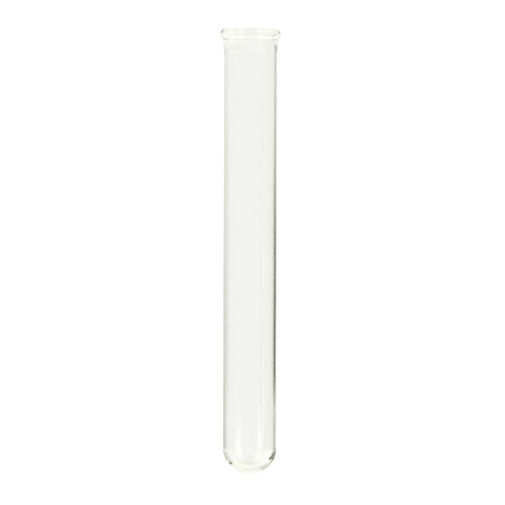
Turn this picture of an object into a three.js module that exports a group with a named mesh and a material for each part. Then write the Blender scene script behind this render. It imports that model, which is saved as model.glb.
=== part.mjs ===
// An 18 x 150 mm laboratory test tube: one piece of clear glass, open at the top, with a beaded rim
// and a round bottom. Millimetres, +Z up, the origin on the axis at the lowest point of the bottom.
import * as THREE from "three";

// Driving dimensions.
const HEIGHT = 150;
const TUBE_RADIUS = 9; // outside of the straight wall
const WALL = 0.8; // thickness of the straight wall
const BOTTOM_THICKNESS = 1.9; // on the axis, where the closed end gathers glass
const RIM_RADIUS = 10.1; // widest point of the bead

// The bead, seen in section. Depths are measured down from the top of the tube.
const BEAD_WIDEST_DEPTH = 2.2;
const BEAD_FOOT_DEPTH = 4; // where the bead's underside meets the flare
const BEAD_FOOT_RADIUS = 9.2;
const FLARE_DEPTH = 9; // where the straight wall starts to sweep out towards the bead
const TOP_LAND = [8.6, 9.1]; // inner and outer radius of the flat ring on top
const MOUTH_LIP = 2.4; // height of the rounded inner edge of the mouth

// Steps that divide each round stretch.
const STEPS_AROUND = 48;
const STEPS_BOTTOM = 12;
const STEPS_BEAD = 5;

const INNER_RADIUS = TUBE_RADIUS - WALL;
const QUARTER = Math.PI / 2;

// Points (radius, height) of an elliptical arc about (centreR, centreZ), from one angle to the other.
// Angle 0 points away from the axis and a quarter turn points up.
function arc(centreR, centreZ, halfWidth, halfHeight, from, to, steps) {
  return Array.from({ length: steps + 1 }, (_, i) => {
    const angle = from + ((to - from) * i) / steps;
    return new THREE.Vector2(
      centreR + halfWidth * Math.cos(angle),
      centreZ + halfHeight * Math.sin(angle),
    );
  });
}

// Points of an S-curve that leaves one radius and reaches the other upright, without its first point.
function swell(fromR, toR, fromZ, toZ, steps) {
  return Array.from({ length: steps }, (_, i) => {
    const share = (i + 1) / steps;
    const ease = (1 - Math.cos(Math.PI * share)) / 2;
    return new THREE.Vector2(fromR + (toR - fromR) * ease, fromZ + (toZ - fromZ) * share);
  });
}

// The round bottom seen from outside: a quarter circle from the axis out to the straight wall.
function outerBottom() {
  return arc(0, TUBE_RADIUS, TUBE_RADIUS, TUBE_RADIUS, -QUARTER, 0, STEPS_BOTTOM);
}

// The sweep from the straight wall out to the bead's foot.
function flare() {
  const start = HEIGHT - FLARE_DEPTH;
  const foot = HEIGHT - BEAD_FOOT_DEPTH;
  const sweep = swell(TUBE_RADIUS, BEAD_FOOT_RADIUS, start, foot, STEPS_BEAD);
  return [new THREE.Vector2(TUBE_RADIUS, start), ...sweep];
}

// The bead from its foot, round the widest point and up to the flat ring on top.
function bead() {
  const foot = HEIGHT - BEAD_FOOT_DEPTH;
  const widest = HEIGHT - BEAD_WIDEST_DEPTH;
  const overhang = RIM_RADIUS - TOP_LAND[1];
  const underside = swell(BEAD_FOOT_RADIUS, RIM_RADIUS, foot, widest, STEPS_BEAD);
  const crown = arc(TOP_LAND[1], widest, overhang, BEAD_WIDEST_DEPTH, 0, QUARTER, STEPS_BEAD);
  return [...underside, ...crown.slice(1)];
}

// The rounded inner edge of the mouth, from the flat ring on top down to the bore.
function mouthLip() {
  const lipWidth = TOP_LAND[0] - INNER_RADIUS;
  return arc(TOP_LAND[0], HEIGHT - MOUTH_LIP, lipWidth, MOUTH_LIP, QUARTER, 2 * QUARTER, STEPS_BEAD);
}

// The inside of the round bottom: a flattened quarter circle from the bore in to the axis.
function innerBottom() {
  const depth = TUBE_RADIUS - BOTTOM_THICKNESS;
  return arc(0, TUBE_RADIUS, INNER_RADIUS, depth, 0, -QUARTER, STEPS_BOTTOM);
}

// The whole section, from the lowest point outside to the lowest point inside. Both lie on the axis.
function section() {
  const points = [...outerBottom(), ...flare(), ...bead(), ...mouthLip(), ...innerBottom()];
  points[0].x = 0;
  points[points.length - 1].x = 0;
  return points;
}

function glassTube() {
  const geometry = new THREE.LatheGeometry(section(), STEPS_AROUND);
  geometry.rotateX(QUARTER); // a lathe turns about Y, and the tube stands along Z
  const glass = new THREE.MeshStandardMaterial({
    color: 0xf1f4ec,
    roughness: 0.03,
    metalness: 0,
    transparent: true,
    opacity: 0.35,
  });
  const mesh = new THREE.Mesh(geometry, glass);
  mesh.name = "glass_tube";
  return mesh;
}

const testTube = new THREE.Group();
testTube.add(glassTube());

export default testTube;
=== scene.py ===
"""An 18 x 150 mm test tube in a bright-field glass studio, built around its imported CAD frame."""

import math

import bmesh
import bpy
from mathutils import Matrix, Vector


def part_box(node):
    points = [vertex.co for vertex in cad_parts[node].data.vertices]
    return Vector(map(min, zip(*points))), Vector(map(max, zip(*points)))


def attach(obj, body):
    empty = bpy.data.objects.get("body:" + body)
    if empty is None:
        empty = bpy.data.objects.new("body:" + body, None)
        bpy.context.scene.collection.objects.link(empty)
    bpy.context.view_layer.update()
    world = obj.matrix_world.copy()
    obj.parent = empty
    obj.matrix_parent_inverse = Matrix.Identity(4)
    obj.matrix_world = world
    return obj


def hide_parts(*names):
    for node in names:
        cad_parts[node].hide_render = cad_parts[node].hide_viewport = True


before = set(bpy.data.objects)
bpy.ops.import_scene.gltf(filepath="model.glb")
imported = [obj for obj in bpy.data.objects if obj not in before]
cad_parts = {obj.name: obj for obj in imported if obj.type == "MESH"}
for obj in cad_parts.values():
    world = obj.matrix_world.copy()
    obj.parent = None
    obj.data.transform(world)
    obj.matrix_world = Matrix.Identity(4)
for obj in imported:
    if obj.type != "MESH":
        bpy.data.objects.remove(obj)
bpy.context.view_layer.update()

MM = 0.001
QUARTER = math.pi / 2

# The tube, in metres. Its height and rim come from the frame, and the rest are the CAD part's sizes.
_, tube_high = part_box("glass_tube")
HEIGHT = tube_high.z
RIM_RADIUS = tube_high.x
TUBE_RADIUS = 9 * MM
WALL = 0.8 * MM
BOTTOM_THICKNESS = 1.9 * MM
INNER_RADIUS = TUBE_RADIUS - WALL

# The bead, in section. Depths are measured down from the top of the tube.
BEAD_WIDEST_DEPTH = 2.2 * MM
BEAD_FOOT_DEPTH = 4 * MM
BEAD_FOOT_RADIUS = 9.2 * MM
FLARE_DEPTH = 9 * MM
TOP_LAND = (8.6 * MM, 9.1 * MM)
MOUTH_LIP = 2.4 * MM

# What hand working left behind. The bead droops and the bottom leans, both towards +X.
DROOP = 0.35 * MM
DROOP_DEPTH = 7 * MM
DROOP_POWER = 3  # a higher power keeps the droop closer to the +X side
LEAN = 0.35 * MM
LEAN_TOP = 14 * MM

# The drawn pipe's wall waves a little, and fine draw lines run along its bore. Both fade in over a
# height from the foot, and out again over a depth below the top.
WAVE = 0.02 * MM
WAVE_TURN = 14 * MM  # the wave turns about the axis with height, a radian of its sine in this much
WAVE_SWELL = 23 * MM  # and swells and sinks with height, a radian of another sine in this much
DRAW_LINE = 0.0025 * MM
DRAW_LINES = ((23, 2), (37, 0), (61, 1))  # how many lines go round the bore, and their phase
FADE_FOOT = 2 * TUBE_RADIUS
FADE_TOP = 3 * FLARE_DEPTH

# How finely the glass is divided.
STEPS_AROUND = 216
STEP_ALONG = 1 * MM
STEPS_BOTTOM = 56
STEPS_BEAD = 16

# The glass: clear, with a yellow-green tint that only shows where light runs a long way inside it.
GLASS_IOR = 1.5
TINT = (0.70, 0.74, 0.30)
TINT_DENSITY = 18.0  # per metre
MOST_BOUNCES = 200

# The camera: level, long, and a little rolled, with the tube a little off the picture's middle.
CAMERA_DISTANCE = 3.0
CAMERA_RANGE = (0.01, 20)
VIEW_WIDTH = 169.9 * MM
SENSOR = 36.0  # millimetres, the unit of Blender's sensors and lenses
TUBE_LEFT_OF_MIDDLE = 0.841 * MM
TUBE_ABOVE_MIDDLE = 0.42 * MM
ROLL = math.radians(-0.18)

# Colours of the studio, as the glass sees it.
WHITE = (1.005, 1.005, 0.985)
PALE = (0.90, 0.90, 0.86)
DIM = (0.28, 0.28, 0.25)
DARK = (0.03, 0.04, 0.01)
WINDOW = (0.94, 0.94, 0.91)
LEFT_LIGHT = (1.75, 1.75, 1.70)
RIGHT_LIGHT = (1.1, 1.1, 1.06)

# What the camera sees in their place: a white backdrop and a pale floor.
BACKDROP_STRENGTH = 1.05
FLOOR_GREY = (0.8, 0.8, 0.8)
FLOOR_GLOW = 0.8

# The room: colours by azimuth in degrees. 0 is behind the tube, at +Y, and 90 is at +X.
SURROUND = (
    (-180, DIM),
    (-80, DIM),
    (-60, WHITE),
    (60, WHITE),
    (80, DIM),
    (180, DIM),
)

# The light from above and below takes over at these sines of the angle from the level.
OVERHEAD = (0.95, 0.95, 0.92)
OVERHEAD_FROM = 0.2
OVERHEAD_FULL = 0.5

# The floor is a disc. Its level and radius are in mm.
FLOOR_LEVEL = -120
FLOOR_RADIUS = 1500
FLOOR_SIDES = 96

# Its painted light and shade as the glass sees it, by distance from under the tube, in mm: painted
# shade right under the tube, a painted ring of light round it, and fainter painted shade and light
# further out.
FLOOR_PAINTED_LIGHT_BY_DISTANCE = (
    (0, (0.55, 0.56, 0.50)),
    (60, (0.55, 0.56, 0.50)),
    (90, (1.00, 1.00, 0.96)),
    (110, (1.05, 1.05, 1.01)),
    (170, (1.05, 1.05, 1.01)),
    (200, (0.95, 0.95, 0.91)),
    (215, (0.87, 0.88, 0.83)),
    (245, (0.87, 0.88, 0.83)),
    (270, (0.93, 0.94, 0.90)),
    (600, (0.95, 0.95, 0.93)),
    (FLOOR_RADIUS, WHITE),
)

# These multiply them by azimuth with more painted light and shade: painted shade in front of the tube,
# dim, but two painted wedges of bright light there, towards the two streak cards.
FULL = (1, 1, 1)
FLOOR_PAINTED_LIGHT_BY_AZIMUTH = (
    (-180, DIM),
    (-145, DIM),
    (-141, LEFT_LIGHT),
    (-119, LEFT_LIGHT),
    (-115, DIM),
    (-110, FULL),
    (90, FULL),
    (110, DIM),
    (122, DIM),
    (125, RIGHT_LIGHT),
    (143, RIGHT_LIGHT),
    (146, DIM),
    (180, DIM),
)

# Colours of the far cards by height above the foot of the tube, in mm. They stand on the floor.
FAR = 1450 * MM
CARD_TOP = 400
LEFT_CARD = (
    (FLOOR_LEVEL, (0.55, 0.56, 0.50)),
    (-33, (0.56, 0.57, 0.51)),
    (53, (0.66, 0.67, 0.61)),
    (172, (0.80, 0.81, 0.76)),
    (CARD_TOP, (0.80, 0.81, 0.76)),
)
RIGHT_CARD = (
    (FLOOR_LEVEL, (0.46, 0.47, 0.38)),
    (-34, (0.46, 0.47, 0.38)),
    (-4, (0.52, 0.53, 0.46)),
    (8, (0.20, 0.21, 0.10)),
    (17, (0.06, 0.07, 0.02)),
    (32, (0.05, 0.06, 0.02)),
    (53, (0.09, 0.10, 0.03)),
    (76, (0.09, 0.10, 0.04)),
    (100, (0.22, 0.23, 0.13)),
    (125, (0.42, 0.44, 0.34)),
    (176, (0.60, 0.61, 0.55)),
    (CARD_TOP, (0.60, 0.61, 0.55)),
)
LEFT_SHOULDER = ((FLOOR_LEVEL, (0.94, 0.94, 0.92)), (CARD_TOP, (0.95, 0.95, 0.93)))
RIGHT_SHOULDER = ((FLOOR_LEVEL, (0.95, 0.95, 0.92)), (CARD_TOP, (0.96, 0.96, 0.94)))
LEFT_STREAK = ((FLOOR_LEVEL, LEFT_LIGHT), (-35, LEFT_LIGHT), (0, DIM))
RIGHT_STREAK = ((FLOOR_LEVEL, RIGHT_LIGHT), (-35, RIGHT_LIGHT), (0, DIM))
LEFT_WINDOW = ((FLOOR_LEVEL, WINDOW), (CARD_TOP, WINDOW))

# Small white cards beside the rim keep the far cards' grey out of the bead.
RIM_CARD_DISTANCE = 16 * MM
LEFT_RIM = ((144, (0.86, 0.86, 0.82)), (147, WHITE), (175, WHITE))
RIGHT_RIM = ((145.6, (0.92, 0.92, 0.89)), (146.5, WHITE), (175, WHITE))

# Small cards close to the round bottom: grey and dark for its edge, white to light its underside.
LEFT_LOW_DISTANCE = 11 * MM
LEFT_LOW = (
    (-1, PALE),
    (3, (0.72, 0.73, 0.67)),
    (5.5, (0.60, 0.61, 0.54)),
    (8.5, (0.50, 0.51, 0.44)),
)
RIGHT_LOW_DISTANCE = 14 * MM
RIGHT_LOW = (
    (-3, PALE),
    (-2.4, DARK),
    (3.4, DARK),
    (4.4, (0.15, 0.16, 0.08)),
    (5.6, (0.28, 0.29, 0.20)),
    (7, (0.36, 0.37, 0.28)),
    (8, (0.40, 0.41, 0.32)),
)
LOW_LIGHT_DISTANCE = 16 * MM
LOW_LIGHT = ((-8, WHITE), (6, WHITE))

# The cards: name, the azimuths of both sides, distance and colours. Two of them thin out, and their
# last numbers say over how many degrees at each side and over how many mm at the top.
CARD_COLUMNS = 24
CARDS = (
    ("left_card", -64, -20, FAR, LEFT_CARD),
    ("left_shoulder", -20, -3.5, FAR, LEFT_SHOULDER),
    ("right_card", 20, 64, FAR, RIGHT_CARD),
    ("right_shoulder", 3, 20, FAR, RIGHT_SHOULDER),
    ("left_rim", -145, -14, RIM_CARD_DISTANCE, LEFT_RIM, 20),
    ("right_rim", 15, 80, RIM_CARD_DISTANCE, RIGHT_RIM),
    ("left_low", -88, -64, LEFT_LOW_DISTANCE, LEFT_LOW, 9, 2),
    ("right_low", 49, 74, RIGHT_LOW_DISTANCE, RIGHT_LOW),
    ("low_light", 8, 54, LOW_LIGHT_DISTANCE, LOW_LIGHT),
    ("low_side_light", 80, 125, LOW_LIGHT_DISTANCE, LOW_LIGHT),
    ("left_streak", -141, -117, FAR, LEFT_STREAK),
    ("right_streak", 124, 144, FAR, RIGHT_STREAK),
    ("left_window", -114, -64, FAR, LEFT_WINDOW),
)


# --- Shape -------------------------------------------------------------------------------------


def arc(centre_r, centre_z, half_width, half_height, start, end, steps):
    """Points (radius, height) of an elliptical arc. Angle 0 points away from the axis."""
    points = []
    for i in range(steps + 1):
        angle = start + (end - start) * i / steps
        r = centre_r + half_width * math.cos(angle)
        points.append((r, centre_z + half_height * math.sin(angle)))
    return points


def straight(radius, start, end):
    """Points of the cylinder between two heights, without its ends."""
    steps = max(2, round(abs(end - start) / STEP_ALONG))
    return [(radius, start + (end - start) * i / steps) for i in range(1, steps)]


def swell(low_radius, high_radius, start, end, steps):
    """Points of an S-curve between two radii and heights, upright at both ends, without its first."""
    points = []
    for i in range(1, steps + 1):
        share = i / steps
        r = low_radius + (high_radius - low_radius) * (1 - math.cos(math.pi * share)) / 2
        points.append((r, start + (end - start) * share))
    return points


def outside():
    """The outer surface, from just off the axis at the bottom up to the outer edge of the top land."""
    flare_start = HEIGHT - FLARE_DEPTH
    foot = HEIGHT - BEAD_FOOT_DEPTH
    widest = HEIGHT - BEAD_WIDEST_DEPTH
    overhang = RIM_RADIUS - TOP_LAND[1]
    bottom = arc(0, TUBE_RADIUS, TUBE_RADIUS, TUBE_RADIUS, -QUARTER, 0, STEPS_BOTTOM)
    wall = straight(TUBE_RADIUS, TUBE_RADIUS, flare_start) + [(TUBE_RADIUS, flare_start)]
    flare = swell(TUBE_RADIUS, BEAD_FOOT_RADIUS, flare_start, foot, STEPS_BEAD)
    under = swell(BEAD_FOOT_RADIUS, RIM_RADIUS, foot, widest, STEPS_BEAD)
    crown = arc(TOP_LAND[1], widest, overhang, BEAD_WIDEST_DEPTH, 0, QUARTER, STEPS_BEAD)
    return bottom[1:] + wall + flare + under + crown[1:]


def inside():
    """The inner surface, from the inner edge of the top land down to just off the axis."""
    lip_width = TOP_LAND[0] - INNER_RADIUS
    lip = arc(TOP_LAND[0], HEIGHT - MOUTH_LIP, lip_width, MOUTH_LIP, QUARTER, math.pi, STEPS_BEAD)
    wall = straight(INNER_RADIUS, HEIGHT - MOUTH_LIP, TUBE_RADIUS)
    depth = TUBE_RADIUS - BOTTOM_THICKNESS
    bottom = arc(0, TUBE_RADIUS, INNER_RADIUS, depth, 0, -QUARTER, STEPS_BOTTOM)
    return lip + wall + bottom[:-1]


def new_object(name, bm):
    """An object in the scene with the finished mesh."""
    mesh = bpy.data.meshes.new(name)
    bm.to_mesh(mesh)
    bm.free()
    made = bpy.data.objects.new(name, mesh)
    bpy.context.scene.collection.objects.link(made)
    return made


def lathe(name, section, shape):
    """A closed surface about Z. shape(r, angle, z, i) gives each point's place, i being its ring."""
    bm = bmesh.new()
    rings = []
    for i, (r, z) in enumerate(section):
        ring = []
        for k in range(STEPS_AROUND):
            ring.append(bm.verts.new(shape(r, 2 * math.pi * k / STEPS_AROUND, z, i)))
        rings.append(ring)
    for lower, upper in zip(rings, rings[1:]):
        for k in range(STEPS_AROUND):
            after = (k + 1) % STEPS_AROUND
            bm.faces.new((lower[k], lower[after], upper[after], upper[k]))
    # The section starts and ends just off the axis, so a fan of triangles closes each end.
    for ring, tip, turn in ((rings[0], 0, 1), (rings[-1], BOTTOM_THICKNESS, -1)):
        point = bm.verts.new(shape(0, 0, tip, 0))
        for k in range(STEPS_AROUND):
            face = (point, ring[(k + 1) % STEPS_AROUND], ring[k])
            bm.faces.new(face[::turn])
    for face in bm.faces:
        face.smooth = True
    return new_object(name, bm)


def smooth(share):
    """An ease from 0 to 1 while share goes from 0 to 1, level at both ends."""
    share = min(1, max(0, share))
    return share * share * (3 - 2 * share)


def glass_tube():
    """The whole tube, outside and inside in one closed surface."""
    outer = outside()

    def shape(r, angle, z, i):
        """Where a point of the section goes, with the small unevenness of worked glass."""
        on_wall = smooth(z / FADE_FOOT) * smooth((HEIGHT - z) / FADE_TOP)
        wave = WAVE * math.sin(2 * angle + z / WAVE_TURN) * math.sin(z / WAVE_SWELL + 1)
        if i < len(outer):
            uneven = wave / 2
        else:
            lines = sum(math.sin(count * angle + phase) for count, phase in DRAW_LINES)
            uneven = wave + DRAW_LINE * lines
        r += uneven * on_wall
        near_rim = smooth(1 - (HEIGHT - z) / DROOP_DEPTH)
        towards_x = (1 + math.cos(angle)) / 2
        lean = LEAN * (1 - min(1, z / LEAN_TOP)) ** 2
        drop = DROOP * near_rim * towards_x ** DROOP_POWER
        return (r * math.cos(angle) + lean, r * math.sin(angle), z - drop)

    return lathe("blown_glass_tube", outer + inside(), shape)


# --- Materials ---------------------------------------------------------------------------------


def new_material(name):
    material = bpy.data.materials.new(name)
    material.use_nodes = True
    material.node_tree.nodes.clear()
    return material, material.node_tree.nodes, material.node_tree.links


def clear_glass():
    """Smooth glass with its tint in the volume, so that it deepens with the light's way inside."""
    material, nodes, links = new_material("clear_glass")
    shader = nodes.new("ShaderNodeBsdfPrincipled")
    shader.inputs["Base Color"].default_value = (1, 1, 1, 1)
    shader.inputs["Roughness"].default_value = 0.0
    shader.inputs["IOR"].default_value = GLASS_IOR
    shader.inputs["Transmission Weight"].default_value = 1.0
    tint = nodes.new("ShaderNodeVolumeAbsorption")
    tint.inputs["Color"].default_value = (*TINT, 1)
    tint.inputs["Density"].default_value = TINT_DENSITY
    out = nodes.new("ShaderNodeOutputMaterial")
    links.new(shader.outputs["BSDF"], out.inputs["Surface"])
    links.new(tint.outputs["Volume"], out.inputs["Volume"])
    return material


def ramp(nodes, links, share, stops):
    """A colour that changes with share, from 0 to 1, through stops of (share, colour)."""
    node = nodes.new("ShaderNodeValToRGB")
    elements = node.color_ramp.elements
    while len(elements) < len(stops):
        elements.new(0.5)
    for element, (position, colour) in zip(elements, stops):
        element.position = position
        element.color = (*colour, 1)
    links.new(share, node.inputs["Fac"])
    return node.outputs["Color"]


def by_azimuth(nodes, links, place, stops):
    """A colour that changes with the azimuth of a place or direction, through (azimuth, colour)."""
    split = nodes.new("ShaderNodeSeparateXYZ")
    links.new(place, split.inputs["Vector"])
    azimuth = nodes.new("ShaderNodeMath")
    azimuth.operation = "ARCTAN2"
    links.new(split.outputs["X"], azimuth.inputs[0])
    links.new(split.outputs["Y"], azimuth.inputs[1])
    share = nodes.new("ShaderNodeMapRange")
    share.inputs["From Min"].default_value = -math.pi
    share.inputs["From Max"].default_value = math.pi
    links.new(azimuth.outputs["Value"], share.inputs["Value"])
    return ramp(nodes, links, share.outputs["Result"], [((d + 180) / 360, c) for d, c in stops])


# --- Studio ------------------------------------------------------------------------------------


def surround():
    """The room as the glass sees it, and a plain white backdrop as the camera sees it."""
    world = bpy.data.worlds.new("studio")
    bpy.context.scene.world = world
    world.use_nodes = True
    nodes, links = world.node_tree.nodes, world.node_tree.links
    nodes.clear()
    where = nodes.new("ShaderNodeTexCoord")
    sides = by_azimuth(nodes, links, where.outputs["Generated"], SURROUND)
    split = nodes.new("ShaderNodeSeparateXYZ")
    links.new(where.outputs["Generated"], split.inputs["Vector"])
    steepness = nodes.new("ShaderNodeMath")
    steepness.operation = "ABSOLUTE"
    links.new(split.outputs["Z"], steepness.inputs[0])
    overhead = nodes.new("ShaderNodeMapRange")
    overhead.interpolation_type = "SMOOTHSTEP"
    overhead.inputs["From Min"].default_value = OVERHEAD_FROM
    overhead.inputs["From Max"].default_value = OVERHEAD_FULL
    links.new(steepness.outputs["Value"], overhead.inputs["Value"])
    blend = nodes.new("ShaderNodeMix")
    blend.data_type = "RGBA"
    blend.inputs["B"].default_value = (*OVERHEAD, 1)
    links.new(overhead.outputs["Result"], blend.inputs["Factor"])
    links.new(sides, blend.inputs["A"])
    room = nodes.new("ShaderNodeBackground")
    links.new(blend.outputs["Result"], room.inputs["Color"])
    backdrop = nodes.new("ShaderNodeBackground")
    backdrop.inputs["Color"].default_value = (1, 1, 1, 1)
    backdrop.inputs["Strength"].default_value = BACKDROP_STRENGTH
    path = nodes.new("ShaderNodeLightPath")
    mix = nodes.new("ShaderNodeMixShader")
    links.new(path.outputs["Is Camera Ray"], mix.inputs["Fac"])
    links.new(room.outputs["Background"], mix.inputs[1])
    links.new(backdrop.outputs["Background"], mix.inputs[2])
    out = nodes.new("ShaderNodeOutputWorld")
    links.new(mix.outputs["Shader"], out.inputs["Surface"])


def card_surface(name, start, end, distance, heights, side_fade, top_fade):
    """A card's curved surface. Its cover layer says how solid it is at each point, from 0 to 1."""
    bm = bmesh.new()
    cover = bm.verts.layers.float.new("cover")
    columns = []
    for i in range(CARD_COLUMNS + 1):
        azimuth = start + (end - start) * i / CARD_COLUMNS
        from_side = min(azimuth - start, end - azimuth)
        x = distance * math.sin(math.radians(azimuth))
        y = distance * math.cos(math.radians(azimuth))
        column = [bm.verts.new((x, y, z)) for z in heights]
        for vertex in column:
            vertex[cover] = min(1, from_side / side_fade) if side_fade else 1
        if top_fade:
            column[-1][cover] = 0
        columns.append(column)
    for left, right in zip(columns, columns[1:]):
        for k in range(len(heights) - 1):
            bm.faces.new((left[k], right[k], right[k + 1], left[k + 1]))
    return new_object(name, bm)


def card_glow(name, low, high, colours):
    """Light of a colour that changes with height, as far as the card's cover layer is solid."""
    material, nodes, links = new_material(name)
    where = nodes.new("ShaderNodeTexCoord")
    split = nodes.new("ShaderNodeSeparateXYZ")
    share = nodes.new("ShaderNodeMapRange")
    share.inputs["From Min"].default_value = low
    share.inputs["From Max"].default_value = high
    glow = nodes.new("ShaderNodeEmission")
    nothing = nodes.new("ShaderNodeBsdfTransparent")
    cover = nodes.new("ShaderNodeAttribute")
    cover.attribute_name = "cover"
    mix = nodes.new("ShaderNodeMixShader")
    out = nodes.new("ShaderNodeOutputMaterial")
    links.new(where.outputs["Object"], split.inputs["Vector"])
    links.new(split.outputs["Z"], share.inputs["Value"])
    stops = [((height * MM - low) / (high - low), colour) for height, colour in colours]
    links.new(ramp(nodes, links, share.outputs["Result"], stops), glow.inputs["Color"])
    links.new(cover.outputs["Fac"], mix.inputs["Fac"])
    links.new(nothing.outputs["BSDF"], mix.inputs[1])
    links.new(glow.outputs["Emission"], mix.inputs[2])
    links.new(mix.outputs["Shader"], out.inputs["Surface"])
    return material


def card(name, start, end, distance, colours, side_fade=0, top_fade=0):
    """A curved card round the tube, between two azimuths, that only the glass sees.

    It thins out to nothing over the side_fade degrees at each side and the top_fade mm at its top.
    """
    low, high = colours[0][0] * MM, colours[-1][0] * MM
    heights = (low, high - top_fade * MM, high) if top_fade else (low, high)
    made = card_surface(name, start, end, distance, heights, side_fade, top_fade)
    made.data.materials.append(card_glow(name, low, high, colours))
    made.visible_camera = False
    made.visible_diffuse = False
    made.visible_shadow = False


def floor_with_painted_light():
    """Plain and pale to the camera; to the glass it glows with painted pools of light and shade."""
    material, nodes, links = new_material("floor_with_painted_light")
    where = nodes.new("ShaderNodeTexCoord")
    sides = by_azimuth(nodes, links, where.outputs["Object"], FLOOR_PAINTED_LIGHT_BY_AZIMUTH)
    distance = nodes.new("ShaderNodeVectorMath")
    distance.operation = "LENGTH"
    links.new(where.outputs["Object"], distance.inputs[0])
    share = nodes.new("ShaderNodeMath")
    share.operation = "DIVIDE"
    share.inputs[1].default_value = FLOOR_RADIUS * MM
    links.new(distance.outputs["Value"], share.inputs[0])
    stops = [(reach / FLOOR_RADIUS, colour) for reach, colour in FLOOR_PAINTED_LIGHT_BY_DISTANCE]
    rings = ramp(nodes, links, share.outputs["Value"], stops)
    pool = nodes.new("ShaderNodeMix")
    pool.data_type = "RGBA"
    pool.blend_type = "MULTIPLY"
    pool.inputs["Factor"].default_value = 1
    links.new(rings, pool.inputs["A"])
    links.new(sides, pool.inputs["B"])
    # What the glass sees: the painted pools of light and shade, glowing, not lit by any lamp.
    painted_glow = nodes.new("ShaderNodeEmission")
    links.new(pool.outputs["Result"], painted_glow.inputs["Color"])
    diffuse = nodes.new("ShaderNodeBsdfDiffuse")
    diffuse.inputs["Color"].default_value = (*FLOOR_GREY, 1)
    glow = nodes.new("ShaderNodeEmission")
    glow.inputs["Strength"].default_value = FLOOR_GLOW
    both = nodes.new("ShaderNodeAddShader")
    path = nodes.new("ShaderNodeLightPath")
    mix = nodes.new("ShaderNodeMixShader")
    out = nodes.new("ShaderNodeOutputMaterial")
    links.new(diffuse.outputs["BSDF"], both.inputs[0])
    links.new(glow.outputs["Emission"], both.inputs[1])
    links.new(path.outputs["Is Camera Ray"], mix.inputs["Fac"])
    links.new(painted_glow.outputs["Emission"], mix.inputs[1])
    links.new(both.outputs["Shader"], mix.inputs[2])
    links.new(mix.outputs["Shader"], out.inputs["Surface"])
    return material


def floor():
    """A wide disc well below the tube, out of the camera's view from the front."""
    bm = bmesh.new()
    bmesh.ops.create_circle(bm, cap_ends=True, segments=FLOOR_SIDES, radius=FLOOR_RADIUS * MM)
    disc = new_object("floor", bm)
    disc.location.z = FLOOR_LEVEL * MM
    disc.data.materials.append(floor_with_painted_light())


def camera():
    """A camera at -Y that looks straight along +Y."""
    data = bpy.data.cameras.new("camera")
    data.sensor_width = SENSOR
    data.lens = SENSOR * CAMERA_DISTANCE / VIEW_WIDTH
    data.clip_start, data.clip_end = CAMERA_RANGE
    cam = bpy.data.objects.new("camera", data)
    bpy.context.scene.collection.objects.link(cam)
    cam.location = (TUBE_LEFT_OF_MIDDLE, -CAMERA_DISTANCE, HEIGHT / 2 - TUBE_ABOVE_MIDDLE)
    cam.rotation_euler = (QUARTER, ROLL, 0)
    bpy.context.scene.camera = cam


camera()
surround()
floor()
for settings in CARDS:
    card(*settings)
bpy.context.scene.view_settings.view_transform = "Standard"
# Light that the wall guides from the bottom to the rim is turned back many times on its way.
bpy.context.scene.cycles.max_bounces = MOST_BOUNCES
bpy.context.scene.cycles.glossy_bounces = MOST_BOUNCES
bpy.context.scene.cycles.transmission_bounces = MOST_BOUNCES

tube = glass_tube()
tube.data.materials.append(clear_glass())
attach(tube, "root")
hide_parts("glass_tube")
